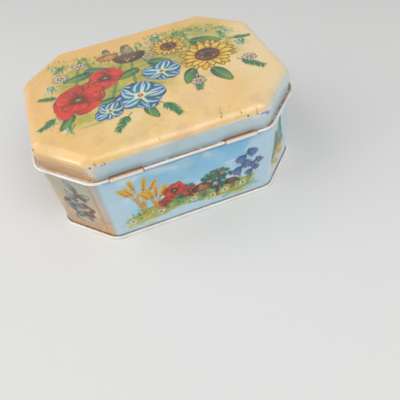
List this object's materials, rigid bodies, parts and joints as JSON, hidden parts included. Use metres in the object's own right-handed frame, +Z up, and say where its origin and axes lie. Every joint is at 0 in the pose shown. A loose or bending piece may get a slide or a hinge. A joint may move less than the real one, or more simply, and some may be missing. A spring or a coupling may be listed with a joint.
{
  "type": "hinged tin box",
  "caption": "Eight-sided tin box with seamed base and a drawn lid that turns on rolled hinge knuckles, for papers and keepsakes.",
  "frame": {"origin": "centre of the bounding box at the level the base rim stands on", "axes": "+Z up, +X along the length, +Y towards the hinge at the back"},
  "size_m": [0.134, 0.1034, 0.0557],
  "materials": {
    "printed_wall": "gloss varnish over print",
    "cream_rim": "gloss enamel, worn at the edges",
    "printed_lid": "gloss varnish over print"
  },
  "bodies": {
    "tin_body": {"body_wall": "printed_wall", "base_pan": "cream_rim"},
    "tin_lid": {"lid": "printed_lid"}
  },
  "joints": [
    {"name": "lid_hinge", "type": "hinge", "parent": "tin_body", "child": "tin_lid", "pos_m": [0, 0.05055, 0.0427], "axis": [-1, 0, 0], "range_deg": [0, 198]}
  ]
}
